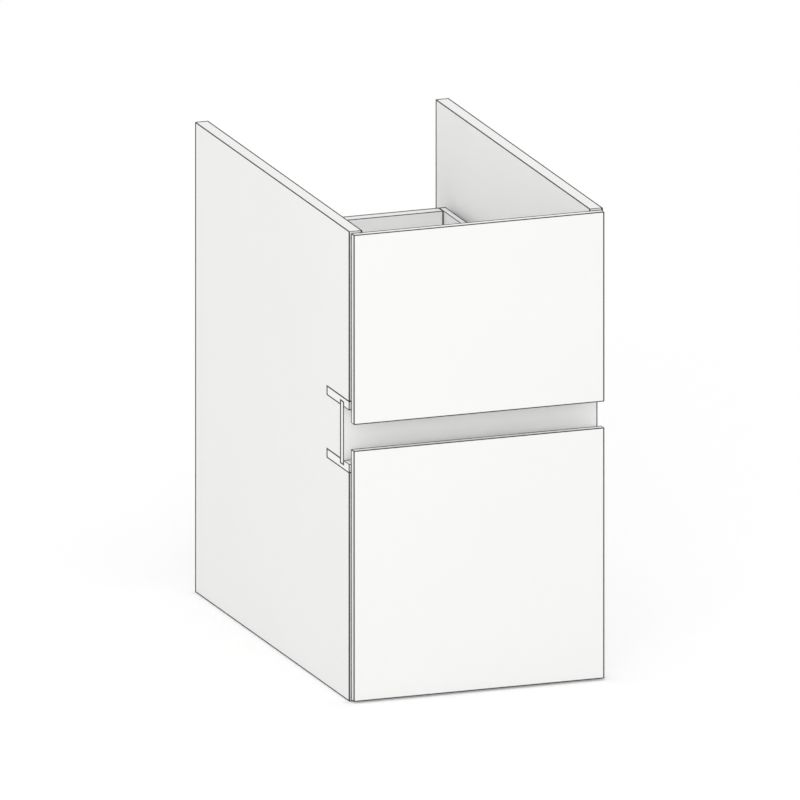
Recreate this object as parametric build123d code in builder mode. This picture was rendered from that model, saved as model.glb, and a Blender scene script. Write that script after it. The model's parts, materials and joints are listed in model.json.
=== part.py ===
from build123d import *
import os

# A narrow wall-hung vanity base cabinet with two handle-less drawers.
# X runs across with 0 on the middle plane, the fronts face -Y, Z is 0 under the carcass.
# All sizes are in millimetres.

# Carcass boards
cabinet_width = 300
cabinet_height = 540
panel_depth = 500
panel_thickness = 16
rear_rail_height = 96
rear_rail_drop = 19.5
board_arris = 0.5

# Drawer fronts
front_thickness = 10
front_air = 0.3
front_side_reveal = 2
front_bottom_reveal = 2
front_top_reveal = 2
finger_gap = 30
finger_gap_rise = 1.5
front_arris = 0.5

# Grip channel, three boards let right through the side panels
grip_board = 10
grip_rail_depth = 72
grip_mouth = 62
grip_centre = 303.5
web_setback = 18.3
web_tongue = 5

# Drawer boxes
pipe_space = 50
box_side_air = 6.3
upper_box_height = 82
lower_box_height = 193
side_width = 8
side_skin = 1
drawer_board = 16
board_fit = 0.2

# Runners: full extension, in three members with roller cages between them
runner_air = 3
runner_sheet = 1.5
middle_sheet = 1.2
track_centre = 24
head_width = 12
stem_width = 3
lip_air = 0.6
leg_air = 0.4
lip_slot_air = 0.8
roller_diameter = 2.4
roller_air = 0.05
roller_length = 9
roller_count = 4
cage_thickness = 1.2
cage_window_air = 0.2
panel_flange_height = 34
web_end_height = 5
web_end_air = 1
travel_margin = 10
cabinet_member_start = 2
middle_member_start = 12
middle_member_end = 18
drawer_member_start = 4
cage_stop_air = 8

# Runner screws, on the 32 mm hole system, 37 mm behind the front edge
screw_row_start = 37
hole_pitch = 32
screw_pitches = (0, 11)
screw_height = 24
flange_tab_width = 30
flange_low_height = 12
runner_screw_core = 5
runner_screw_depth = 12
runner_screw_head = 8
runner_screw_head_height = 1.6
screw_hole_air = 0.1
thread_faces = 6
fastener_faces = 12

# Drawer brackets and their screws
bracket_sheet = 2.5
bracket_tongue_length = 40
bracket_tongue_air = 0.2
bracket_rim_air = 5.8
bracket_flange_reach = 32
back_bracket_sheet = 1.5
rear_tab_width = 12
rear_tab_air = 0.3
hook_pin_diameter = 5
hook_pin_length = 8
wood_screw_core = 3
wood_screw_head = 6
wood_screw_head_height = 1.5
front_screw_skin = 2
board_screw_skin = 4
bracket_screw_inset = 10
bottom_screw_inset = 60
flange_edge = 3

# Knock-down fittings and dowels
cam_diameter = 15
cam_depth = 12.5
cam_setback = 24
cam_fit = 0.1
cam_recess = 0.3
cam_slot_length = 10
cam_slot_width = 2
cam_slot_depth = 2.5
cam_end_distance = 70
rail_cam_height = 32
bolt_shank = 5
bolt_screw_depth = 11
bolt_head = 7
bolt_head_length = 3
bolt_bore = 8
dowel_diameter = 8
dowel_length = 30
dowel_in_panel = 10
dowel_fit = 0.1
dowel_end_air = 0.5
dowel_end_distance = 30
rail_dowel_height = 64

# Wall fixing holes in the rear rails
wall_hole_diameter = 8
wall_hole_spacing = 192

# Places worked out from the sizes above
overall_depth = panel_depth + front_air + front_thickness
half_width = cabinet_width / 2
inner_half = half_width - panel_thickness
carcass_front = -overall_depth / 2 + front_thickness + front_air
carcass_rear = carcass_front + panel_depth
front_back_face = carcass_front - front_air
box_rear = carcass_rear - pipe_space
carcass_middle = (carcass_front + carcass_rear) / 2

upper_rail_base = grip_centre + grip_mouth / 2
lower_rail_top = grip_centre - grip_mouth / 2
rail_back = carcass_front + grip_rail_depth
web_front = carcass_front + web_setback
web_back = web_front + grip_board
lower_front_top = grip_centre + finger_gap_rise - finger_gap / 2
upper_front_base = lower_front_top + finger_gap
upper_runner_base = upper_rail_base + grip_board + runner_air
lower_runner_base = panel_thickness + runner_air

# Heights through a runner, counted from its base
drawer_lip_base = runner_sheet + lip_air
middle_lip_base = drawer_lip_base + runner_sheet + lip_air
head_base = middle_lip_base + middle_sheet + lip_air
head_top = head_base + runner_sheet
roller_space = roller_diameter + 2 * roller_air
middle_base = head_top + roller_space
middle_top = middle_base + middle_sheet
drawer_member_base = middle_top + roller_space
drawer_member_top = drawer_member_base + runner_sheet
board_base = drawer_member_top + side_skin
board_top = board_base + drawer_board

# Distances across a runner and a drawer side, counted from the middle plane, left side
track_x = -inner_half + track_centre
side_outer_x = -inner_half + box_side_air
side_inner_x = side_outer_x + side_width
drawer_board_half = -side_outer_x - side_skin - board_fit
middle_half_inside = head_width / 2 + leg_air
middle_half_outside = middle_half_inside + middle_sheet
member_half_inside = middle_half_outside + leg_air
member_half_outside = member_half_inside + runner_sheet
lip_slot_half = stem_width / 2 + lip_slot_air

# Places of the fittings that join the boards to the side panels, as (y, z) of their axes
bottom_axis_z = panel_thickness / 2
rear_rail_axis_y = carcass_rear - panel_thickness / 2
upper_rear_rail_base = upper_runner_base + upper_box_height - rear_rail_drop - rear_rail_height
rail_bases = (panel_thickness, upper_rear_rail_base)
bottom_cam_rows = (carcass_front + cam_end_distance, carcass_rear - cam_end_distance)
bottom_cam_points = [(y, bottom_axis_z) for y in bottom_cam_rows]
bottom_dowel_points = [(y, bottom_axis_z) for y in (carcass_front + dowel_end_distance, carcass_middle)]
rail_cam_points = [(rear_rail_axis_y, base + rail_cam_height) for base in rail_bases]
rail_dowel_points = [(rear_rail_axis_y, base + rail_dowel_height) for base in rail_bases]
cam_points = bottom_cam_points + rail_cam_points
dowel_points = bottom_dowel_points + rail_dowel_points
cam_x = inner_half - cam_setback
runner_screw_rows = [carcass_front + screw_row_start + count * hole_pitch for count in screw_pitches]
runner_screw_points = [
    (y, base + screw_height) for base in (upper_runner_base, lower_runner_base) for y in runner_screw_rows
]

# Lengths and places along the runners, from the drawer's travel
drawer_travel = box_rear - carcass_front - travel_margin
cage_length = drawer_travel / 2 - middle_member_end - 2 * cage_stop_air + travel_margin - cabinet_member_start
inner_cage_front = carcass_front + cabinet_member_start + drawer_travel / 4 + cage_stop_air
outer_cage_front = carcass_front + middle_member_start + drawer_travel / 4 + cage_stop_air

# Places on the drawer boxes
side_start = front_back_face + bracket_sheet
tongue_low_x = side_outer_x + side_skin + bracket_tongue_air
tongue_high_x = side_inner_x - side_skin - bracket_tongue_air
bracket_screw_x = side_inner_x + (bracket_flange_reach - side_width) / 2
bracket_height = upper_box_height - board_top - bracket_rim_air
front_screw_depth = front_thickness - front_screw_skin
board_screw_depth = drawer_board - board_screw_skin
front_half = half_width - front_side_reveal
hook_pin_height = board_base + drawer_board / 2
web_end_x = track_x + member_half_outside + web_end_air + runner_sheet
bottom_screw_x = track_x + member_half_outside + flange_edge + wood_screw_head / 2
bottom_screw_rows = (carcass_front + bottom_screw_inset, box_rear - bottom_screw_inset)
bottom_screw_places = [(bottom_screw_x, y) for y in bottom_screw_rows]
side_flange_end = bottom_screw_x + wood_screw_head / 2 + flange_edge

os.makedirs("parts", exist_ok=True)


def write(piece, name):
    """Label a finished piece and write its STEP file."""
    piece.part.label = name
    export_step(piece.part, f"parts/{name}.step")


def write_pair(left, name):
    """Write a left-hand piece and its mirror image on the right-hand side."""
    with BuildPart() as right:
        mirror(left.part, about=Plane.YZ)
    write(left, f"{name}_left")
    write(right, f"{name}_right")


def across(y):
    """The upright plane at y, with X and Z as its own axes and -Y as its normal."""
    return Plane.XZ.offset(-y)


def span(low, high, mode=Mode.ADD):
    """Draw the rectangle from its low corner to its high corner."""
    with Locations(low):
        Rectangle(high[0] - low[0], high[1] - low[1], align=(Align.MIN, Align.MIN), mode=mode)


def bore(plane, points, diameter, depth):
    """Drill round holes of the given depth along the plane's normal into the open part."""
    with BuildSketch(plane, mode=Mode.PRIVATE) as outline:
        with Locations(*points):
            Circle(diameter / 2)
    extrude(outline.sketch, amount=depth, mode=Mode.SUBTRACT)


def pilot(plane, points, diameter, depth):
    """Drill a fastener's hidden holes, kept to a few flat faces that touch the true round."""
    with BuildSketch(plane, mode=Mode.PRIVATE) as outline:
        with Locations(*points):
            RegularPolygon(diameter / 2, fastener_faces, major_radius=False)
    extrude(outline.sketch, amount=depth, mode=Mode.SUBTRACT)


def studs(plane, points, diameter, length, faces=fastener_faces):
    """Add a fastener's heads, shanks or threads, kept to a few flat faces, to the open part."""
    with BuildSketch(plane, mode=Mode.PRIVATE) as outline:
        with Locations(*points):
            RegularPolygon(diameter / 2, faces)
    extrude(outline.sketch, amount=length)


def both_sides(left):
    """Add to the open part a left-hand piece and its mirror image."""
    add(left.part)
    mirror(left.part, about=Plane.YZ)


# Side panels
inner_face = Plane.YZ.offset(-inner_half)
with BuildPart() as side_panel:
    with BuildSketch(Plane.YZ.offset(-half_width)):
        span((carcass_front, 0), (carcass_rear, cabinet_height))
    extrude(amount=panel_thickness)
    chamfer(side_panel.edges().filter_by(Axis.X, reverse=True), board_arris)
    with BuildSketch(Plane.YZ.offset(-half_width)):
        span((carcass_front, lower_rail_top), (web_back, upper_rail_base))
        span((carcass_front, upper_rail_base), (rail_back, upper_rail_base + grip_board))
        span((carcass_front, lower_rail_top - grip_board), (rail_back, lower_rail_top))
    extrude(amount=panel_thickness, mode=Mode.SUBTRACT)
    pilot(inner_face, runner_screw_points, runner_screw_core + 2 * screw_hole_air, -runner_screw_depth)
    pilot(inner_face, cam_points, bolt_shank + 2 * screw_hole_air, -bolt_screw_depth)
    pilot(inner_face, dowel_points, dowel_diameter + 2 * dowel_fit, -dowel_in_panel - dowel_end_air)
write_pair(side_panel, "side_panel")


def bore_ends(bolt_axes, dowel_axes):
    """Drill both ends of the open board for its cam bolts and dowels."""
    dowel_bore = dowel_diameter + 2 * dowel_fit
    dowel_bore_depth = dowel_length - dowel_in_panel + dowel_end_air
    for side in (-1, 1):
        end = Plane.YZ.offset(side * inner_half)
        pilot(end, bolt_axes, bolt_bore, -side * cam_setback)
        pilot(end, dowel_axes, dowel_bore, -side * dowel_bore_depth)


# Bottom panel, with its cam bores in the underside
with BuildPart() as bottom_panel:
    with BuildSketch():
        span((-inner_half, carcass_front), (inner_half, carcass_rear))
    extrude(amount=panel_thickness)
    bore_ends(bottom_cam_points, bottom_dowel_points)
    cam_places = [(side * cam_x, y) for y, z in bottom_cam_points for side in (-1, 1)]
    bore(Plane.XY, cam_places, cam_diameter + 2 * cam_fit, cam_depth)
write(bottom_panel, "bottom_panel")

# Rear rails, with cam bores in the face to the wall and holes for the wall screws
for name, base in (("rear_rail_lower", panel_thickness), ("rear_rail_upper", upper_rear_rail_base)):
    with BuildPart() as rear_rail:
        with BuildSketch(across(carcass_rear)):
            span((-inner_half, base), (inner_half, base + rear_rail_height))
        extrude(amount=panel_thickness)
        cam_z = base + rail_cam_height
        bore_ends([(rear_rail_axis_y, cam_z)], [(rear_rail_axis_y, base + rail_dowel_height)])
        cam_places = [(side * cam_x, cam_z) for side in (-1, 1)]
        bore(across(carcass_rear), cam_places, cam_diameter + 2 * cam_fit, cam_depth)
        wall_holes = [(side * wall_hole_spacing / 2, base + rear_rail_height / 2) for side in (-1, 1)]
        bore(across(carcass_rear), wall_holes, wall_hole_diameter, panel_thickness)
    write(rear_rail, name)

# Grip rails, each with the groove that takes an edge of the web
for name, base, groove_base in (
    ("grip_rail_upper", upper_rail_base, upper_rail_base),
    ("grip_rail_lower", lower_rail_top - grip_board, lower_rail_top - web_tongue),
):
    with BuildPart() as grip_rail:
        with BuildSketch(Plane.YZ.offset(-half_width)):
            span((carcass_front, base), (rail_back, base + grip_board))
            span((web_front, groove_base), (web_back, groove_base + web_tongue), mode=Mode.SUBTRACT)
        extrude(amount=cabinet_width)
    write(grip_rail, name)

with BuildPart() as grip_web:
    with BuildSketch(Plane.YZ.offset(-half_width)):
        span((web_front, lower_rail_top - web_tongue), (web_back, upper_rail_base + web_tongue))
    extrude(amount=cabinet_width)
write(grip_web, "grip_web")

# Dowels, partly in a side panel and partly in a board's end
with BuildPart() as left_dowels:
    dowel_start = Plane.YZ.offset(-inner_half - dowel_in_panel)
    studs(dowel_start, dowel_points, dowel_diameter, dowel_length)
with BuildPart() as carcass_dowels:
    both_sides(left_dowels)
write(carcass_dowels, "carcass_dowels")

# Cam bolts: a shank from the side panel to the cam, and a head inside the cam
with BuildPart() as left_bolts:
    studs(inner_face, cam_points, bolt_shank, -bolt_screw_depth + screw_hole_air, thread_faces)
    studs(inner_face, cam_points, bolt_shank, cam_setback)
    studs(Plane.YZ.offset(-cam_x), cam_points, bolt_head, bolt_head_length)
with BuildPart() as cam_bolts:
    both_sides(left_bolts)
write(cam_bolts, "cam_bolts")


def cam_discs(plane, points):
    """Cams that lie below a board's face, each cross-slotted and open towards its bolt."""
    with BuildPart() as discs:
        with BuildSketch(plane.offset(cam_recess)):
            with Locations(*points):
                Circle(cam_diameter / 2)
        extrude(amount=cam_depth - cam_recess)
        with BuildSketch(plane.offset(cam_recess)):
            with Locations(*points):
                Rectangle(cam_slot_length, cam_slot_width)
                Rectangle(cam_slot_width, cam_slot_length)
        extrude(amount=cam_slot_depth, mode=Mode.SUBTRACT)
        with BuildSketch(plane.offset(cam_depth)):
            with Locations(*points):
                Rectangle(cam_diameter, bolt_bore, align=(Align.MAX, Align.CENTER))
                Rectangle(bolt_bore, bolt_bore)
        extrude(amount=panel_thickness / 2 - bolt_bore / 2 - cam_depth, mode=Mode.SUBTRACT)
    return discs


bottom_cams = cam_discs(Plane.XY, [(-cam_x, y) for y, z in bottom_cam_points])
rail_cams = cam_discs(across(carcass_rear), [(-cam_x, z) for y, z in rail_cam_points])
with BuildPart() as cam_housings:
    both_sides(bottom_cams)
    both_sides(rail_cams)
write(cam_housings, "cam_housings")

# Runner screws: flat heads on the runner's flange, cores in the side panel
with BuildPart() as left_runner_screws:
    flange_face = Plane.YZ.offset(-inner_half + runner_sheet)
    studs(flange_face, runner_screw_points, runner_screw_head, runner_screw_head_height)
    screw_reach = runner_sheet + runner_screw_depth - screw_hole_air
    studs(flange_face, runner_screw_points, runner_screw_core, -screw_reach, thread_faces)
with BuildPart() as runner_screws:
    both_sides(left_runner_screws)
write(runner_screws, "runner_screws")


def channel(base, top, half_inside, sheet, lip_base):
    """Draw a channel open downwards about the track, with lips turned in below."""
    outside = half_inside + sheet
    span((track_x - outside, base + lip_base), (track_x + outside, top))
    inside_low = (track_x - half_inside, base + lip_base + sheet)
    span(inside_low, (track_x + half_inside, top - sheet), mode=Mode.SUBTRACT)
    slot_low = (track_x - lip_slot_half, base + lip_base)
    span(slot_low, (track_x + lip_slot_half, top - sheet), mode=Mode.SUBTRACT)


def cabinet_member(base):
    """The fixed member: a flange with screw tabs, a web and the T-shaped track on it."""
    start = carcass_front + cabinet_member_start
    with BuildPart() as member:
        with BuildSketch(across(start)):
            span((-inner_half, base), (-inner_half + runner_sheet, base + panel_flange_height))
            span((-inner_half, base), (web_end_x, base + runner_sheet))
            span((web_end_x - runner_sheet, base), (web_end_x, base + web_end_height))
            span((track_x - stem_width / 2, base), (track_x + stem_width / 2, base + head_top))
            span((track_x - head_width / 2, base + head_base), (track_x + head_width / 2, base + head_top))
        extrude(amount=start - box_rear)
        with BuildSketch(Plane.YZ.offset(-inner_half)):
            span((start, base + flange_low_height), (box_rear, base + panel_flange_height))
            for y in runner_screw_rows:
                low = (y - flange_tab_width / 2, base + flange_low_height)
                span(low, (y + flange_tab_width / 2, base + panel_flange_height), mode=Mode.SUBTRACT)
        extrude(amount=runner_sheet, mode=Mode.SUBTRACT)
        screws = [(y, z) for y, z in runner_screw_points if z == base + screw_height]
        pilot(inner_face, screws, runner_screw_core + 2 * screw_hole_air, runner_sheet)
    return member


def middle_member(base):
    """The middle member, a channel round the track's head."""
    start = carcass_front + middle_member_start
    with BuildPart() as member:
        with BuildSketch(across(start)):
            channel(base, base + middle_top, middle_half_inside, middle_sheet, middle_lip_base)
        extrude(amount=start - box_rear + middle_member_end)
    return member


def drawer_member(base):
    """The outer member under the drawer side, with a rear tab whose pin holds the bottom board."""
    start = carcass_front + drawer_member_start
    tab_front = box_rear + rear_tab_air
    with BuildPart() as member:
        with BuildSketch(across(start)):
            channel(base, base + drawer_member_top, member_half_inside, runner_sheet, drawer_lip_base)
        extrude(amount=start - tab_front)
        with BuildSketch(across(tab_front)):
            span(
                (track_x - rear_tab_width / 2, base + drawer_member_base),
                (track_x + rear_tab_width / 2, base + board_top - runner_sheet),
            )
        extrude(amount=-runner_sheet)
        studs(across(tab_front), [(track_x, base + hook_pin_height)], hook_pin_diameter, hook_pin_length)
    return member


def roller_cage(base, track_top, start):
    """A roller cage on a track: a strip with windows, and a loose roller in each."""
    roller_pitch = cage_length / roller_count
    rollers_y = [start + roller_pitch * (index + 0.5) for index in range(roller_count)]
    middle_z = base + track_top + roller_space / 2
    window = roller_diameter + 2 * cage_window_air
    with BuildPart() as cage:
        with BuildSketch(Plane.XY.offset(middle_z - cage_thickness / 2)):
            span((track_x - head_width / 2, start), (track_x + head_width / 2, start + cage_length))
            with Locations(*[(track_x, y) for y in rollers_y]):
                Rectangle(roller_length + 2 * cage_window_air, window, mode=Mode.SUBTRACT)
        extrude(amount=cage_thickness)
        with BuildSketch(Plane.YZ.offset(track_x - roller_length / 2)):
            with Locations(*[(y, middle_z) for y in rollers_y]):
                Circle(roller_diameter / 2)
        extrude(amount=roller_length)
    return cage


# The four runners
for level, base in (("upper", upper_runner_base), ("lower", lower_runner_base)):
    write_pair(cabinet_member(base), f"cabinet_member_{level}")
    write_pair(middle_member(base), f"middle_member_{level}")
    write_pair(drawer_member(base), f"drawer_member_{level}")
    write_pair(roller_cage(base, head_top, inner_cage_front), f"inner_cage_{level}")
    write_pair(roller_cage(base, middle_top, outer_cage_front), f"outer_cage_{level}")


def drawer_side(base, rim):
    """The slim folded steel side: two skins closed at the rim, and a flange under the bottom board."""
    with BuildPart() as side:
        with BuildSketch(across(side_start)):
            span((side_outer_x, base + drawer_member_top), (side_inner_x, rim))
            span(
                (side_outer_x + side_skin, base + drawer_member_top),
                (side_inner_x - side_skin, rim - side_skin),
                mode=Mode.SUBTRACT,
            )
            span((side_inner_x - side_skin, base), (side_inner_x, base + board_top), mode=Mode.SUBTRACT)
            span((side_outer_x, base + drawer_member_top), (side_flange_end, base + board_base))
        extrude(amount=side_start - box_rear)
        flange_face = Plane.XY.offset(base + drawer_member_top)
        pilot(flange_face, bottom_screw_places, wood_screw_core + 2 * screw_hole_air, side_skin)
    return side


def drawer_bottom(base):
    """The bottom board, held between the drawer sides' outer skins on their flanges."""
    with BuildPart() as bottom:
        with BuildSketch(Plane.XY.offset(base + board_base)):
            span((-drawer_board_half, front_back_face), (drawer_board_half, box_rear))
        extrude(amount=drawer_board)
        screw_places = [(side * x, y) for x, y in bottom_screw_places for side in (-1, 1)]
        screw_bore = wood_screw_core + 2 * screw_hole_air
        pilot(Plane.XY.offset(base + board_base), screw_places, screw_bore, board_screw_depth)
        hook_bores = [(side * track_x, base + hook_pin_height) for side in (-1, 1)]
        pilot(across(box_rear), hook_bores, hook_pin_diameter + 2 * screw_hole_air, hook_pin_length)
    return bottom


def drawer_back(base, rim):
    """The rear wall, standing on the bottom board between the drawer sides' inner skins."""
    with BuildPart() as back:
        with BuildSketch(across(box_rear)):
            span((side_inner_x, base + board_top), (-side_inner_x, rim))
        extrude(amount=drawer_board)
        screws = [(side * x, z) for x, z in bracket_screw_places(base) for side in (-1, 1)]
        pilot(across(box_rear), screws, wood_screw_core + 2 * screw_hole_air, board_screw_depth)
    return back


def bracket_screw_places(base):
    """The two screws of a bracket on the left side, one above the other, as (x, z)."""
    low = base + board_top + bracket_screw_inset
    return [(bracket_screw_x, low), (bracket_screw_x, low + bracket_height - 2 * bracket_screw_inset)]


def front_bracket(base):
    """The front bracket: a tongue inside the drawer side and a plate against the front."""
    low = base + board_top
    with BuildPart() as bracket:
        with BuildSketch(across(front_back_face)):
            span((side_outer_x, low), (side_outer_x + bracket_flange_reach, low + bracket_height))
        extrude(amount=-bracket_sheet)
        with BuildSketch(across(side_start)):
            span((tongue_low_x, low), (tongue_high_x, low + bracket_height))
        extrude(amount=-bracket_tongue_length)
        upright = bracket.edges().filter_by(Axis.Y).group_by(Axis.X)[-1]
        fillet(upright, bracket_sheet)
        screw_bore = wood_screw_core + 2 * screw_hole_air
        pilot(across(front_back_face), bracket_screw_places(base), screw_bore, -bracket_sheet)
    return bracket


def back_bracket(base):
    """The back bracket: a tongue inside the drawer side and a plate behind the rear wall."""
    low = base + board_top
    with BuildPart() as bracket:
        with BuildSketch(across(box_rear)):
            span((side_outer_x, low), (side_outer_x + bracket_flange_reach, low + bracket_height))
        extrude(amount=-back_bracket_sheet)
        with BuildSketch(across(box_rear)):
            span((tongue_low_x, low), (tongue_high_x, low + bracket_height))
        extrude(amount=bracket_tongue_length)
        upright = bracket.edges().filter_by(Axis.Y).group_by(Axis.X)[-1]
        fillet(upright, bracket_sheet)
        screw_bore = wood_screw_core + 2 * screw_hole_air
        pilot(across(box_rear), bracket_screw_places(base), screw_bore, -back_bracket_sheet)
    return bracket


def wood_screws(head_plane, points, grip):
    """Screws with their heads on the plane's near side and their cores along its normal."""
    with BuildPart() as screws:
        studs(head_plane, points, wood_screw_head, -wood_screw_head_height)
        studs(head_plane, points, wood_screw_core, grip - screw_hole_air, thread_faces)
    return screws


def write_both_sides(left, name):
    """Write left-hand screws and their mirror images as one node."""
    with BuildPart() as group:
        both_sides(left)
    write(group, name)


# The two drawers
for level, base, box_height, front_low, front_high in (
    ("upper", upper_runner_base, upper_box_height, upper_front_base, cabinet_height - front_top_reveal),
    ("lower", lower_runner_base, lower_box_height, front_bottom_reveal, lower_front_top),
):
    rim = base + box_height
    with BuildPart() as drawer_front:
        with BuildSketch(across(front_back_face)):
            span((-front_half, front_low), (front_half, front_high))
        extrude(amount=front_thickness)
        chamfer(drawer_front.edges(), front_arris)
        screws = [(side * x, z) for x, z in bracket_screw_places(base) for side in (-1, 1)]
        pilot(across(front_back_face), screws, wood_screw_core + 2 * screw_hole_air, front_screw_depth)
    write(drawer_front, f"drawer_front_{level}")
    write_pair(drawer_side(base, rim), f"drawer_side_{level}")
    write(drawer_bottom(base), f"drawer_bottom_{level}")
    write(drawer_back(base, rim), f"drawer_back_{level}")
    write_pair(front_bracket(base), f"front_bracket_{level}")
    write_pair(back_bracket(base), f"back_bracket_{level}")
    front_heads = across(front_back_face + bracket_sheet)
    write_both_sides(
        wood_screws(front_heads, bracket_screw_places(base), bracket_sheet + front_screw_depth),
        f"front_bracket_screws_{level}",
    )
    back_heads = across(box_rear + back_bracket_sheet)
    write_both_sides(
        wood_screws(back_heads, bracket_screw_places(base), back_bracket_sheet + board_screw_depth),
        f"back_bracket_screws_{level}",
    )
    flange_underside = Plane.XY.offset(base + drawer_member_top)
    write_both_sides(
        wood_screws(flange_underside, bottom_screw_places, side_skin + board_screw_depth),
        f"bottom_screws_{level}",
    )
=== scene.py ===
"""Finishes of a narrow wall-hung vanity base cabinet with two handle-less drawers.

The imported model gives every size. Lengths are metres, and X = 0 is the cabinet's middle plane.
"""

import json
import logging
import math
from dataclasses import dataclass
from enum import Enum, IntEnum
from typing import Any, Sequence

import bmesh
import bpy
from mathutils import Matrix, Vector


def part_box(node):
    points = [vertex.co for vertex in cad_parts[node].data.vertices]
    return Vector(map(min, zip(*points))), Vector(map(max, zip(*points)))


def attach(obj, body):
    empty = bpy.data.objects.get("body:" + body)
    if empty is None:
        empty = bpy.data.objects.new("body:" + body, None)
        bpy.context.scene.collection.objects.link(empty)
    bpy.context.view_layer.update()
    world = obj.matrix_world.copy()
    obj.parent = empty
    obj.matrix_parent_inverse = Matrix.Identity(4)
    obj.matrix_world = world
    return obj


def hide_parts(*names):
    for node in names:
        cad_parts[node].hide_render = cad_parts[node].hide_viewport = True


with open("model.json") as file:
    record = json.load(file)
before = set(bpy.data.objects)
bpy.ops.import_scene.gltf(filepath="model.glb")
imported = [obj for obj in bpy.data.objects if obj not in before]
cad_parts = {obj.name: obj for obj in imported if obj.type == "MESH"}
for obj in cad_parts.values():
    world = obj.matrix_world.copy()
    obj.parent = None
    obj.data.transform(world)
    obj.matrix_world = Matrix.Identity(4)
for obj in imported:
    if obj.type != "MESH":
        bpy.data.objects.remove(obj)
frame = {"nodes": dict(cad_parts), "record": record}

log = logging.getLogger("vanity_base_cabinet")

MM = 0.001
LEVELS = ("upper", "lower")
SIDES = ("left", "right")

# Faces that meet at more than this angle belong to two surfaces.
SHARP = math.radians(35)
# Faces whose normals have at least this cosine between them lie in one plane.
FLAT = 0.999
# A face looks along an axis where its normal has more than this share of it.
FACING = 0.5
# Points nearer than this are one point.
WELD = 0.001 * MM
# Facets that turn less than this against each other are one face.
FACET_TURN = math.radians(0.05)

# Sockets of the colour mixer, which share their names with its hidden ones.
MIX_FROM, MIX_TO, MIX_RESULT = 6, 7, 2


class Slot(Enum):
    """Material slots of the record."""

    BOARD = "white_board"
    LACQUER = "front_lacquer"
    STEEL = "white_steel"
    ZINC = "zinc_steel"
    NYLON = "cage_nylon"
    ALLOY = "cam_alloy"
    BEECH = "beech_dowel"


class Skin(IntEnum):
    """Material numbers of a lined piece's faces."""

    BROAD = 0
    NARROW = 1
    # Faces painted with the dark edge shade.
    LINE = 2
    CORE = 3


def linear(hex_colour: str) -> tuple[float, float, float, float]:
    """Turn an sRGB hex colour into linear light.

    Args:
        hex_colour: six hexadecimal digits, such as "f2f2f0".

    Returns:
        Red, green, blue and an alpha of 1.
    """
    channels = [int(hex_colour[i : i + 2], 16) / 255 for i in (0, 2, 4)]
    light = [c / 12.92 if c <= 0.04045 else ((c + 0.055) / 1.055) ** 2.4 for c in channels]
    return (light[0], light[1], light[2], 1.0)


def add_node(
    tree: bpy.types.NodeTree,
    kind: str,
    inputs: dict[str | int, Any] | None = None,
    links: dict[str | int, bpy.types.NodeSocket] | None = None,
    **settings: Any,
) -> bpy.types.Node:
    """Add a node to a tree.

    Args:
        tree: the material's or the world's node tree.
        kind: the node's type name.
        inputs: values for its input sockets, by name or number.
        links: output sockets that feed its inputs, by name or number.
        **settings: properties of the node itself.

    Returns:
        The new node.
    """
    node = tree.nodes.new(kind)
    for name, value in settings.items():
        setattr(node, name, value)
    for key, value in (inputs or {}).items():
        node.inputs[key].default_value = value
    for key, source in (links or {}).items():
        tree.links.new(source, node.inputs[key])
    return node


@dataclass(frozen=True)
class Finish:
    """A surface with a fine relief and a faint drift of tone, both from a real size.

    Args:
        name: the material and how its surface was made.
        colour: main colour, sRGB hex.
        shade: the colour that the drift leans to, sRGB hex.
        roughness: mean roughness.
        grain_mm: size of the surface's relief.
        relief_mm: height of that relief.
        drift_mm: size of the patches in tone.
        metallic: 1 for bare metal.
        coat: weight of a clear coat.
        stretch: relief stretched along X, Y and Z, for drawn or sawn surfaces.
        unevenness: how far the roughness strays from its mean.
        relief_strength: how strongly the relief tilts the light.
    """

    name: str
    colour: str
    shade: str
    roughness: float
    grain_mm: float
    relief_mm: float
    drift_mm: float = 120.0
    metallic: float = 0.0
    coat: float = 0.0
    stretch: tuple[float, float, float] = (1.0, 1.0, 1.0)
    unevenness: float = 0.05
    relief_strength: float = 0.6

    def material(self) -> bpy.types.Material:
        """Build the material, or take it where it exists.

        Returns:
            The material.
        """
        found = bpy.data.materials.get(self.name)
        if found:
            return found
        material = bpy.data.materials.new(self.name)
        material.use_nodes = True
        tree = material.node_tree
        tree.nodes.clear()
        place = add_node(tree, "ShaderNodeTexCoord")
        run = add_node(
            tree, "ShaderNodeMapping", {"Scale": self.stretch}, {"Vector": place.outputs["Object"]}
        )
        drift = add_node(
            tree,
            "ShaderNodeTexNoise",
            {"Scale": 1 / (self.drift_mm * MM), "Detail": 3.0},
            {"Vector": place.outputs["Object"]},
        )
        tone = add_node(
            tree,
            "ShaderNodeMix",
            {MIX_FROM: linear(self.colour), MIX_TO: linear(self.shade)},
            {0: drift.outputs["Fac"]},
            data_type="RGBA",
        )
        grain = add_node(
            tree,
            "ShaderNodeTexNoise",
            {"Scale": 1 / (self.grain_mm * MM), "Detail": 2.0},
            {"Vector": run.outputs["Vector"]},
        )
        rough = add_node(
            tree,
            "ShaderNodeMapRange",
            {
                "To Min": self.roughness - self.unevenness,
                "To Max": self.roughness + self.unevenness,
            },
            {"Value": grain.outputs["Fac"]},
        )
        bump = add_node(
            tree,
            "ShaderNodeBump",
            {"Strength": self.relief_strength, "Distance": self.relief_mm * MM},
            {"Height": grain.outputs["Fac"]},
        )
        shader = add_node(
            tree,
            "ShaderNodeBsdfPrincipled",
            {"Metallic": self.metallic, "Coat Weight": self.coat},
            {
                "Base Color": tone.outputs[MIX_RESULT],
                "Roughness": rough.outputs["Result"],
                "Normal": bump.outputs["Normal"],
            },
        )
        add_node(tree, "ShaderNodeOutputMaterial", links={"Surface": shader.outputs["BSDF"]})
        return material


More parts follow.
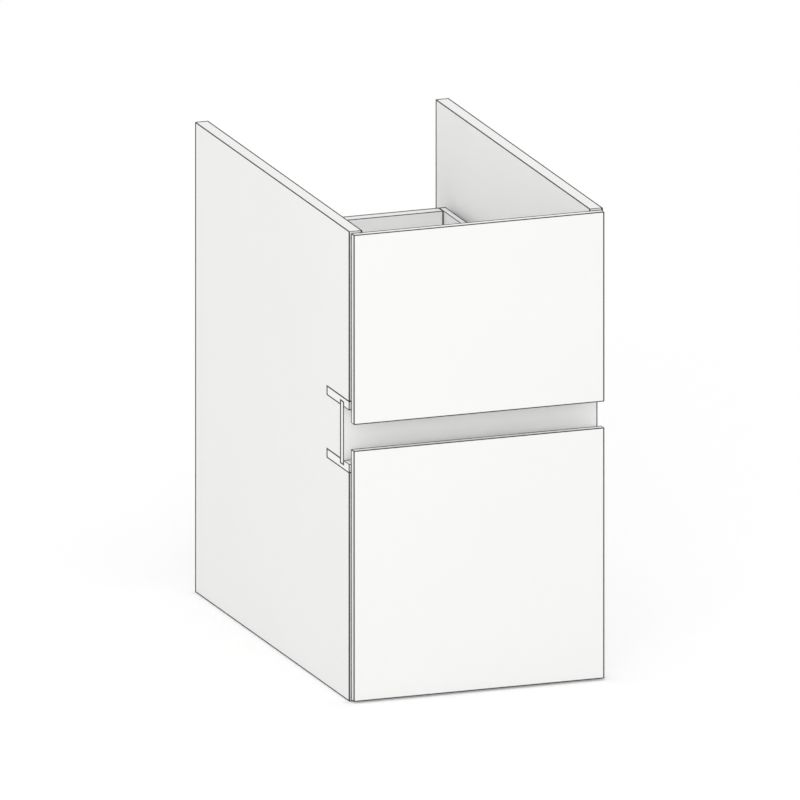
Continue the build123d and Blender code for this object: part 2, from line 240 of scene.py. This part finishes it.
# Melamine paper pressed on chipboard: a dull white with a fine pearl from the press plate.
MELAMINE = Finish("melamine_faced_board_pressed", "f5f5f4", "f2f2f1", 0.5, 1.2, 0.02)
# ABS edging, ironed on and scraped: the same white, a touch smoother than the face.
ABS_EDGE = Finish("abs_edging_scraped", "f4f4f3", "f1f1f0", 0.42, 0.8, 0.01)
# Two-pack lacquer sprayed on fibreboard: satin, with a faint orange peel.
LACQUER = Finish("satin_lacquer_sprayed_mdf", "f7f7f6", "f5f5f4", 0.34, 2.4, 0.015, coat=0.1)
# Painted shade: a thin dark line painted along every sharp edge, standing in for the shade that
# edges and the gaps between parts show.
PAINTED_EDGE_SHADE = Finish("painted_edge_shade_line", "262626", "2e2e2e", 0.6, 0.8, 0.005)
# Powder coat baked on folded steel: an even white with a fine nap.
POWDER_COAT = Finish("powder_coated_steel_baked", "f3f3f3", "f0f0f0", 0.4, 0.9, 0.02)
# Zinc-plated cold-rolled strip: a bright blue-grey metal with streaks along the roll.
ZINC_PLATE = Finish(
    "zinc_plated_steel_rolled", "c4c7cb", "adb1b6", 0.3, 1.5, 0.01, 25.0, 1.0, 0.0, (1.0, 0.12, 1.0)
)
# Zinc alloy die casting: a duller grey metal with a sandy skin.
DIE_CAST = Finish("zinc_alloy_die_cast", "b3b4b6", "a2a3a6", 0.45, 0.7, 0.02, 12.0, 1.0)
# Natural nylon, moulded: milky, slightly glossy.
NYLON = Finish("natural_nylon_moulded", "e9e8e2", "e4e3dc", 0.38, 1.0, 0.01, 30.0)
# Beech rod, turned: pale brown with streaks along the rod.
BEECH = Finish("beech_rod_turned", "d8b98e", "c7a271", 0.6, 1.2, 0.05, 6.0, stretch=(0.15, 1.0, 1.0))
# Bearing steel rollers, ground: bright and smooth, with fine rings round them.
ROLLER_STEEL = Finish(
    "roller_steel_ground", "d5d6d8", "c2c4c7", 0.18, 0.4, 0.004, 8.0, 1.0, 0.0, (0.2, 1.0, 1.0)
)
# Chipboard, drilled: tan chips a few millimetres long, open and rough.
CHIPBOARD = Finish("chipboard_core_drilled", "cbb08a", "937650", 0.85, 2.5, 0.2, 3.0)
# Fibreboard, drilled: an even felted brown.
FIBREBOARD = Finish("fibreboard_core_drilled", "b79a74", "a68862", 0.85, 0.5, 0.05, 8.0)
# Zinc-plated screw, cold headed: brighter than the runners.
SCREW_ZINC = Finish("zinc_plated_screw_headed", "cfd1d4", "b9bcc0", 0.28, 0.5, 0.01, 6.0, 1.0)


@dataclass
class Span:
    """A box from a low to a high corner, in metres."""

    low: Vector
    high: Vector

    @classmethod
    def of(cls, node: str) -> "Span":
        """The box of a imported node."""
        low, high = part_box(node)
        return cls(Vector(low), Vector(high))

    @property
    def size(self) -> Vector:
        """Length along each axis."""
        return self.high - self.low

    @property
    def middle(self) -> Vector:
        """The box's centre."""
        return (self.low + self.high) / 2


def packed_copy(node: str) -> bmesh.types.BMesh:
    """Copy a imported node's mesh, with its loose triangles joined into flat faces.

    Args:
        node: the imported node.

    Returns:
        The copy, which the caller frees.
    """
    mesh = bmesh.new()
    mesh.from_mesh(frame["nodes"][node].data)
    bmesh.ops.remove_doubles(mesh, verts=mesh.verts, dist=WELD)
    bmesh.ops.dissolve_limit(mesh, angle_limit=FACET_TURN, verts=mesh.verts, edges=mesh.edges)
    return mesh


def spread(faces: Sequence[bmesh.types.BMFace]) -> Span:
    """Measure the box round some faces.

    Args:
        faces: the faces.

    Returns:
        Their box.
    """
    places = [vert.co for face in faces for vert in face.verts]
    low = Vector(min(place[axis] for place in places) for axis in range(3))
    high = Vector(max(place[axis] for place in places) for axis in range(3))
    return Span(low, high)


def is_flat(surface: Sequence[bmesh.types.BMFace]) -> bool:
    """Tell whether a surface's faces all lie in one plane.

    Args:
        surface: its faces.

    Returns:
        Whether they do.
    """
    return min(surface[0].normal.dot(face.normal) for face in surface) >= FLAT


def sharpen(mesh: bmesh.types.BMesh) -> None:
    """Shade a mesh sharply along every edge where it turns sharply.

    Args:
        mesh: the shape.
    """
    for edge in mesh.edges:
        edge.smooth = edge.calc_face_angle(math.pi) <= SHARP


def surfaces(mesh: bmesh.types.BMesh, sharpest: float) -> list[list[bmesh.types.BMFace]]:
    """Sort a mesh's faces into surfaces that end where it turns sharply.

    Args:
        mesh: the shape.
        sharpest: the largest turn, in radians, within one surface.

    Returns:
        One list of faces for each surface.
    """
    for face in mesh.faces:
        face.tag = False
    found = []
    for seed in mesh.faces:
        if seed.tag:
            continue
        seed.tag = True
        surface, rim = [seed], [seed]
        while rim:
            for edge in rim.pop().edges:
                if edge.calc_face_angle(math.pi) > sharpest:
                    continue
                for other in edge.link_faces:
                    if not other.tag:
                        other.tag = True
                        surface.append(other)
                        rim.append(other)
        found.append(surface)
    return found


def finish_mesh(mesh: bmesh.types.BMesh, name: str, finishes: Sequence[Finish]) -> bpy.types.Object:
    """Turn a bmesh into an object of the scene.

    Args:
        mesh: the finished shape, freed here.
        name: the piece's name.
        finishes: its materials, in the order of the faces' material numbers.

    Returns:
        The new object, at the origin.
    """
    data = bpy.data.meshes.new(name)
    mesh.to_mesh(data)
    mesh.free()
    for finish in finishes:
        data.materials.append(finish.material())
    piece = bpy.data.objects.new(name, data)
    bpy.context.scene.collection.objects.link(piece)
    return piece


def give(piece: bpy.types.Object, body: str, node: str) -> None:
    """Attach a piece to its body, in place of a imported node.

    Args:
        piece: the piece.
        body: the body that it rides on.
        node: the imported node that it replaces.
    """
    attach(piece, body)
    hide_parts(node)
    log.info("%s rides on %s in place of %s", piece.name, body, node)


@dataclass(frozen=True)
class PaintedShadeLine:
    """The dark line of painted shade along the sharp edges of a piece.

    It is widest along the depth of the cabinet, which the drawing shows most foreshortened. Every
    face leans to the left, forward and up inside its line. That widens the painted shade on the far
    sides, where an outline shows the line of one face and an arris those of two.

    Args:
        across: mean width of a line across the cabinet, in millimetres.
        deep: mean width along its depth.
        up: mean width up the cabinet.
        lean: how far a face leans inside its line, as a share of the line's width.
    """

    across: float = 1.0
    deep: float = 1.8
    up: float = 0.75
    lean: float = 0.3

    @property
    def widths(self) -> Vector:
        """Mean width along each axis, in metres."""
        return Vector((self.across, self.deep, self.up)) * MM

    @property
    def shift(self) -> Vector:
        """How far a face leans along each axis, in metres."""
        return Vector((-self.across, -self.deep, self.up)) * MM * self.lean


HIDDEN_LINE = PaintedShadeLine()
PANEL_LINE = PaintedShadeLine(across=1.25, deep=2.2, up=0.85, lean=0.5)
GRIP_LINE = PaintedShadeLine(deep=2.0, up=0.95)
FRONT_LINE = PaintedShadeLine(across=0.85, deep=1.9, up=0.58, lean=0.4)
DRAWER_LINE = PaintedShadeLine(across=1.3, deep=2.8)


@dataclass
class LinedPiece:
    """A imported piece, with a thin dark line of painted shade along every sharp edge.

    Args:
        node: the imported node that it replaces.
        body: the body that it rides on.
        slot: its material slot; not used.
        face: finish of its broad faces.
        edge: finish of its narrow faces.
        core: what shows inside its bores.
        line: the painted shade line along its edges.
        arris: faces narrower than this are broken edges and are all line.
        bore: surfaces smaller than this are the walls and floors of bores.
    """

    node: str
    body: str
    slot: Slot
    face: Finish
    edge: Finish
    core: Finish
    line: PaintedShadeLine
    arris: float = 0.9 * MM
    bore: float = 17 * MM

    def finishes(self) -> tuple[Finish, ...]:
        """The finishes, in the order of their Skin numbers."""
        # The third finish is the dark painted edge shade.
        return (self.face, self.edge, PAINTED_EDGE_SHADE, self.core)

    def dress(self, surface: list[bmesh.types.BMFace]) -> bool:
        """Give a surface its finish.

        Args:
            surface: its faces.

        Returns:
            Whether a joint line runs round it.
        """
        size = Span.of(self.node).size
        thin = min(range(3), key=lambda axis: size[axis])
        flat = is_flat(surface)
        edges = {edge for face in surface for edge in face.edges}
        around = sum(edge.calc_length() for edge in edges if edge.calc_face_angle(math.pi) > SHARP)
        broken = flat and sum(face.calc_area() for face in surface) < around / 2 * self.arris
        inside = max(spread(surface).size) < self.bore
        for face in surface:
            skin = Skin.BROAD if abs(face.normal[thin]) > FACING else Skin.NARROW
            # Arrises narrower than the line are painted all over with the dark edge shade.
            face.material_index = Skin.LINE if broken else Skin.CORE if inside else skin
            face.smooth = not flat
        return not (broken or inside)

    def lean_in(self, mesh: bmesh.types.BMesh, surface: list[bmesh.types.BMFace]) -> None:
        """Shift a flat surface inside its painted shade line, forward, left and up.

        Args:
            mesh: the whole piece.
            surface: the faces inside the line.
        """
        if not is_flat(surface):
            return
        normal = surface[0].normal
        shift = self.line.shift
        shift -= shift.dot(normal) * normal
        inner = {vert for face in surface for vert in face.verts}
        bmesh.ops.translate(mesh, vec=shift, verts=list(inner))

    def build(self) -> bpy.types.Object:
        """Make the piece and put it in the scene.

        Returns:
            The piece.
        """
        mesh = packed_copy(self.node)
        sharpen(mesh)
        lined = [surface for surface in surfaces(mesh, SHARP) if self.dress(surface)]
        widths = self.line.widths
        bmesh.ops.scale(mesh, vec=[MM / width for width in widths], verts=mesh.verts)
        for surface in lined:
            rings = bmesh.ops.inset_region(
                mesh, faces=surface, thickness=MM, use_even_offset=True, use_boundary=True
            )
            # The ring round each surface is painted with the dark edge shade.
            for face in rings["faces"]:
                face.material_index = Skin.LINE
        bmesh.ops.scale(mesh, vec=[width / MM for width in widths], verts=mesh.verts)
        for surface in lined:
            self.lean_in(mesh, surface)
        piece = finish_mesh(mesh, f"{self.node}_lined", self.finishes())
        give(piece, self.body, self.node)
        return piece


@dataclass
class Screw:
    """A pan-head screw with a cross recess and a rolled thread.

    Args:
        head: head diameter.
        height: head height.
        core: core diameter.
        length: length below the head.
        pitch: thread pitch.
        crest: thread diameter over core diameter.
        crown: diameter of the head's flat top over the head's.
        shoulder: diameter of its rounded shoulder over the head's.
        shoulder_rise: height of the shoulder over the head's.
        cheek_rise: height of its straight cheek over the head's.
        arm: reach of the cross recess from the axis over the head's diameter.
        blade: half the width of its arms over the head's diameter.
        taper: size of the recess's floor over that of its mouth.
        depth: depth of the recess over the head's height.
        sides: faces round it.
    """

    head: float
    height: float
    core: float
    length: float
    pitch: float = 1.2 * MM
    crest: float = 1.22
    crown: float = 0.72
    shoulder: float = 0.92
    shoulder_rise: float = 0.8
    cheek_rise: float = 0.4
    arm: float = 0.27
    blade: float = 0.07
    taper: float = 0.6
    depth: float = 0.8
    sides: int = 20

    def profile(self) -> list[tuple[float, float]]:
        """Draw the screw's half outline, from the top down.

        Returns:
            Pairs of a radius and a height over the head's seat.
        """
        edge, core = self.head / 2, self.core / 2
        points = [
            (edge * self.crown, self.height),
            (edge * self.shoulder, self.height * self.shoulder_rise),
            (edge, self.height * self.cheek_rise),
            (edge, 0),
            (core, 0),
        ]
        turns = int((self.length - self.core) / self.pitch)
        for turn in range(turns):
            low = -(turn + 1) * self.pitch
            points += [(core * self.crest, low + self.pitch / 2), (core, low)]
        points.append((0, -self.length))
        return points

    def mesh(self) -> bmesh.types.BMesh:
        """Turn the outline round the Z axis and cut the cross recess.

        Returns:
            The screw, its head's seat at the origin and its head up.
        """
        mesh = bmesh.new()
        line = [mesh.verts.new((radius, 0, height)) for radius, height in self.profile()]
        edges = [mesh.edges.new(pair) for pair in zip(line, line[1:])]
        bmesh.ops.spin(
            mesh,
            geom=line + edges,
            cent=(0, 0, 0),
            axis=(0, 0, 1),
            angle=math.tau,
            steps=self.sides,
            use_merge=True,
        )
        bmesh.ops.remove_doubles(mesh, verts=mesh.verts, dist=WELD)
        rim = [edge for edge in mesh.edges if edge.is_boundary]
        self.recess(mesh, rim)
        bmesh.ops.recalc_face_normals(mesh, faces=mesh.faces)
        sharpen(mesh)
        for face in mesh.faces:
            face.smooth = abs(face.normal.z) < FLAT
        return mesh

    def recess(self, mesh: bmesh.types.BMesh, rim: list[bmesh.types.BMEdge]) -> None:
        """Close the head's open top round a tapered cross.

        Args:
            mesh: the turned screw.
            rim: the edges of the head's open top.
        """
        arm, half = self.head * self.arm, self.head * self.blade
        quarter = [(arm, -half), (arm, half), (half, half)]
        ring = []
        for turn in range(4):
            spin = Matrix.Rotation(turn * math.pi / 2, 2)
            ring += [mesh.verts.new((*(spin @ Vector(place)), self.height)) for place in quarter]
        cross = mesh.faces.new(ring)
        bmesh.ops.bridge_loops(mesh, edges=rim + list(cross.edges))
        grown = bmesh.ops.extrude_face_region(mesh, geom=[cross])
        bmesh.ops.delete(mesh, geom=[cross], context="FACES_ONLY")
        floor = [item for item in grown["geom"] if isinstance(item, bmesh.types.BMVert)]
        bmesh.ops.scale(mesh, vec=(self.taper, self.taper, 1), verts=floor)
        bmesh.ops.translate(mesh, vec=(0, 0, -self.height * self.depth), verts=floor)


class HeadSide(Enum):
    """Which way a row of screws shows its heads."""

    INWARD = "towards the cabinet's middle plane"
    REARWARD = "towards the wall"
    DOWNWARD = "towards the floor"

    def way(self, place: Vector) -> Vector:
        """Find the direction of a screw's head.

        Args:
            place: the screw's centre.

        Returns:
            A unit vector from the tip to the head.
        """
        if self is HeadSide.INWARD:
            return Vector((-math.copysign(1, place.x), 0, 0))
        return Vector((0, 1, 0)) if self is HeadSide.REARWARD else Vector((0, 0, -1))


@dataclass
class ScrewRow:
    """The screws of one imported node.

    Args:
        node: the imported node.
        body: the body that they ride on.
        heads: which way their heads look.
        head_height: height of a head over its seat.
        core_share: core diameter over head diameter.
    """

    node: str
    body: str
    heads: HeadSide
    head_height: float = 1.5 * MM
    core_share: float = 0.5

    def screw(self, span: Span) -> bmesh.types.BMesh:
        """Make the screw that fills a packed one's box.

        Args:
            span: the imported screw's box.

        Returns:
            The screw in its place, which the caller frees.
        """
        way = self.heads.way(span.middle)
        along = max(range(3), key=lambda axis: abs(way[axis]))
        head = min(span.size[axis] for axis in range(3) if axis != along)
        length = span.size[along] - self.head_height
        screw = Screw(head, self.head_height, head * self.core_share, length).mesh()
        seat = span.middle + way * (span.size[along] / 2 - self.head_height)
        turned = way.to_track_quat("Z", "Y").to_matrix().to_4x4()
        bmesh.ops.transform(screw, matrix=Matrix.Translation(seat) @ turned, verts=screw.verts)
        return screw

    def build(self) -> bpy.types.Object:
        """Put a screw in the place of each packed one.

        Returns:
            All the screws as one piece.
        """
        packed = packed_copy(self.node)
        spans = [spread(solid) for solid in surfaces(packed, math.tau)]
        packed.free()
        row = bmesh.new()
        for span in spans:
            screw = self.screw(span)
            part = bpy.data.meshes.new("screw")
            screw.to_mesh(part)
            screw.free()
            row.from_mesh(part)
            bpy.data.meshes.remove(part)
        piece = finish_mesh(row, f"{self.node}_crossed", (SCREW_ZINC,))
        give(piece, self.body, self.node)
        return piece


@dataclass
class RollerCage:
    """A moulded cage with the steel rollers that it keeps apart.

    Args:
        node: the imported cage.
    """

    node: str

    def build(self) -> bpy.types.Object:
        """Give the strip and its rollers their own finishes.

        Returns:
            The cage with its rollers.
        """
        mesh = packed_copy(self.node)
        whole = Span.of(self.node).size.y
        for solid in surfaces(mesh, math.tau):
            roller = spread(solid).size.y < whole / 2
            for face in solid:
                face.material_index = int(roller)
                face.smooth = roller and abs(face.normal.x) < FACING
        sharpen(mesh)
        piece = finish_mesh(mesh, f"{self.node}_rollers", (NYLON, ROLLER_STEEL))
        give(piece, f"{self.node}_body", self.node)
        return piece


@dataclass
class Studio:
    """The camera of the drawing, a white floor and soft even light.

    Args:
        frame_width: pixels across the square picture.
        metre: pixels that a metre takes in it.
        azimuth: degrees to the left of the front.
        elevation: degrees above the horizon.
        corner_right: how far right of the left panel's front foot the frame's middle lies.
        corner_up: how far above it, both across the view.
        distance: from the cabinet to the camera.
        floor_half: half the floor's side.
        floor_grey: how much light the floor throws back.
        floor_lift: glow that brings the seen floor up to white outside the shadow.
        fill: strength of the even light from all round.
        lamp_place: where the soft lamp hangs.
        lamp_aim: what it points at.
        lamp_size: its side.
        lamp_watts: its power.
    """

    frame_width: float = 800.0
    metre: float = 901.3
    azimuth: float = 20.0
    elevation: float = 15.0
    corner_right: float = 0.05655
    corner_up: float = 0.3347
    distance: float = 4.0
    floor_half: float = 16.0
    floor_grey: float = 0.86
    floor_lift: float = 0.2
    fill: float = 0.92
    lamp_place: tuple[float, float, float] = (-1.6, -3.0, 1.3)
    lamp_aim: tuple[float, float, float] = (0.0, 0.0, 0.3)
    lamp_size: float = 1.8
    lamp_watts: float = 19.0

    def camera(self) -> None:
        """Set up the parallel view of the drawing."""
        turn, rise = math.radians(self.azimuth), math.radians(self.elevation)
        right = Vector((math.cos(turn), -math.sin(turn), 0))
        level = Vector((-math.sin(turn), -math.cos(turn), 0))
        towards = level * math.cos(rise) + Vector((0, 0, math.sin(rise)))
        up = towards.cross(right)
        foot = Span.of("side_panel_left").low
        middle = foot + right * self.corner_right + up * self.corner_up
        data = bpy.data.cameras.new("drawing_view")
        data.type = "ORTHO"
        data.ortho_scale = self.frame_width / self.metre
        view = bpy.data.objects.new("drawing_view", data)
        turned = Matrix((right, up, towards)).transposed().to_4x4()
        view.matrix_world = Matrix.Translation(middle + towards * self.distance) @ turned
        bpy.context.scene.collection.objects.link(view)
        bpy.context.scene.camera = view

    def floor(self) -> None:
        """Lay a wide white floor that keeps the cabinet's shadow."""
        mesh = bmesh.new()
        bmesh.ops.create_grid(mesh, x_segments=1, y_segments=1, size=self.floor_half)
        material = bpy.data.materials.new("matt_white_floor")
        material.use_nodes = True
        tree = material.node_tree
        tree.nodes.clear()
        path = add_node(tree, "ShaderNodeLightPath")
        seen = self.seen(tree, path)
        grey = (self.floor_grey, self.floor_grey, self.floor_grey, 1)
        paint = add_node(tree, "ShaderNodeBsdfDiffuse", {"Color": grey})
        lift = add_node(
            tree, "ShaderNodeMath", {1: self.floor_lift}, {0: seen}, operation="MULTIPLY"
        )
        glow = add_node(
            tree, "ShaderNodeEmission", {"Color": (1, 1, 1, 1)}, {"Strength": lift.outputs[0]}
        )
        both = add_node(tree, "ShaderNodeAddShader", links={0: paint.outputs[0], 1: glow.outputs[0]})
        add_node(tree, "ShaderNodeOutputMaterial", links={"Surface": both.outputs[0]})
        data = bpy.data.meshes.new("floor")
        mesh.to_mesh(data)
        mesh.free()
        data.materials.append(material)
        plane = bpy.data.objects.new("floor", data)
        bpy.context.scene.collection.objects.link(plane)

    def seen(self, tree: bpy.types.NodeTree, path: bpy.types.Node) -> bpy.types.NodeSocket:
        """Tell whether a ray shows the background: from the camera, in gloss or through glass.

        Args:
            tree: the node tree.
            path: its Light Path node.

        Returns:
            A socket of 1 for such rays and 0 for the rest.
        """
        glossy = add_node(
            tree,
            "ShaderNodeMath",
            links={0: path.outputs["Is Camera Ray"], 1: path.outputs["Is Glossy Ray"]},
            operation="MAXIMUM",
        )
        through = add_node(
            tree,
            "ShaderNodeMath",
            links={0: glossy.outputs[0], 1: path.outputs["Is Transmission Ray"]},
            operation="MAXIMUM",
        )
        return through.outputs[0]

    def world(self) -> None:
        """Make the air white where it is seen, and an even fill light elsewhere."""
        world = bpy.data.worlds.new("studio_air")
        world.use_nodes = True
        tree = world.node_tree
        tree.nodes.clear()
        path = add_node(tree, "ShaderNodeLightPath")
        strength = add_node(
            tree,
            "ShaderNodeMapRange",
            {"To Min": self.fill, "To Max": 1.0},
            {"Value": self.seen(tree, path)},
        )
        air = add_node(
            tree,
            "ShaderNodeBackground",
            {"Color": (1, 1, 1, 1)},
            {"Strength": strength.outputs["Result"]},
        )
        add_node(tree, "ShaderNodeOutputWorld", links={"Surface": air.outputs[0]})
        bpy.context.scene.world = world

    def lamp(self) -> None:
        """Hang a square soft lamp at the camera's side."""
        data = bpy.data.lights.new("soft_key", "AREA")
        data.shape = "SQUARE"
        data.size = self.lamp_size
        data.energy = self.lamp_watts
        lamp = bpy.data.objects.new("soft_key", data)
        lamp.location = self.lamp_place
        look = Vector(self.lamp_aim) - Vector(self.lamp_place)
        lamp.rotation_euler = look.to_track_quat("-Z", "Y").to_euler()
        bpy.context.scene.collection.objects.link(lamp)

    def build(self) -> None:
        """Put up the whole studio."""
        self.camera()
        self.floor()
        self.world()
        self.lamp()
        bpy.context.scene.view_settings.view_transform = "Standard"


def melamine_board(node: str, body: str, line: PaintedShadeLine) -> LinedPiece:
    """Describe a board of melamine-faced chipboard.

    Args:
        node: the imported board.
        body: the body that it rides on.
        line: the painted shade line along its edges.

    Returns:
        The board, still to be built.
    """
    return LinedPiece(node, body, Slot.BOARD, MELAMINE, ABS_EDGE, CHIPBOARD, line)


def lacquered_board(node: str, body: str, line: PaintedShadeLine) -> LinedPiece:
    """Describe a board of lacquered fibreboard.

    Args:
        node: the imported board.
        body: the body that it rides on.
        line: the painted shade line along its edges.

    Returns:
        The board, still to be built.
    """
    return LinedPiece(node, body, Slot.LACQUER, LACQUER, LACQUER, FIBREBOARD, line)


@dataclass
class Carcass:
    """The fixed boards and the screws of the runners.

    Args:
        body: the body that they make up.
        white: the boards between the side panels.
        lacquered: the boards of the grip channel.
        screw_head: head height of the runner screws.
    """

    body: str = "carcass"
    white: tuple[str, ...] = ("bottom_panel", "rear_rail_lower", "rear_rail_upper")
    lacquered: tuple[str, ...] = ("grip_rail_upper", "grip_rail_lower", "grip_web")
    screw_head: float = 1.6 * MM

    def build(self) -> None:
        """Make the side panels, bottom, rear rails, grip channel and runner screws."""
        for side in SIDES:
            melamine_board(f"side_panel_{side}", self.body, PANEL_LINE).build()
        for node in self.white:
            melamine_board(node, self.body, HIDDEN_LINE).build()
        for node in self.lacquered:
            lacquered_board(node, self.body, GRIP_LINE).build()
        ScrewRow("runner_screws", self.body, HeadSide.INWARD, self.screw_head).build()


@dataclass
class Drawer:
    """One drawer's boards, steel sides and screws, with the cages of its runners.

    Args:
        level: upper or lower.
        fold: faces of its steel sides narrower than this are cut edges and are all line.
    """

    level: str
    fold: float = 1.2 * MM

    @property
    def body(self) -> str:
        """The body that the drawer's pieces ride on."""
        return f"drawer_{self.level}"

    def side(self, side: str) -> LinedPiece:
        """Describe a side of folded and powder-coated steel.

        Args:
            side: left or right.

        Returns:
            The side, still to be built.
        """
        node = f"drawer_side_{self.level}_{side}"
        coats = (POWDER_COAT, POWDER_COAT, POWDER_COAT)
        return LinedPiece(node, self.body, Slot.STEEL, *coats, DRAWER_LINE, self.fold)

    def build(self) -> None:
        """Make the drawer's boards, steel sides and screws, and its runners' cages."""
        lacquered_board(f"drawer_front_{self.level}", self.body, FRONT_LINE).build()
        melamine_board(f"drawer_back_{self.level}", self.body, DRAWER_LINE).build()
        melamine_board(f"drawer_bottom_{self.level}", self.body, DRAWER_LINE).build()
        for side in SIDES:
            self.side(side).build()
            RollerCage(f"inner_cage_{self.level}_{side}").build()
            RollerCage(f"outer_cage_{self.level}_{side}").build()
        for end in ("front", "back"):
            ScrewRow(f"{end}_bracket_screws_{self.level}", self.body, HeadSide.REARWARD).build()
        ScrewRow(f"bottom_screws_{self.level}", self.body, HeadSide.DOWNWARD).build()


def dress_nodes() -> None:
    """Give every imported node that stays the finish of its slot."""
    finishes = {
        Slot.BOARD.value: MELAMINE,
        Slot.LACQUER.value: LACQUER,
        Slot.STEEL.value: POWDER_COAT,
        Slot.ZINC.value: ZINC_PLATE,
        Slot.NYLON.value: NYLON,
        Slot.ALLOY.value: DIE_CAST,
        Slot.BEECH.value: BEECH,
    }
    slots = {row["node"]: row["material_slot"] for row in frame["record"]["subparts"]}
    for name, node in frame["nodes"].items():
        material = finishes[slots[name]].material()
        if not node.material_slots:
            node.data.materials.append(material)
        for slot in node.material_slots:
            slot.material = material


def main() -> None:
    """Build the cabinet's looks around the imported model."""
    logging.basicConfig(level=logging.INFO, format="%(name)s: %(message)s")
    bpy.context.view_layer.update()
    Studio().build()
    dress_nodes()
    Carcass().build()
    for level in LEVELS:
        Drawer(level).build()


if __name__ == "__main__":
    main()
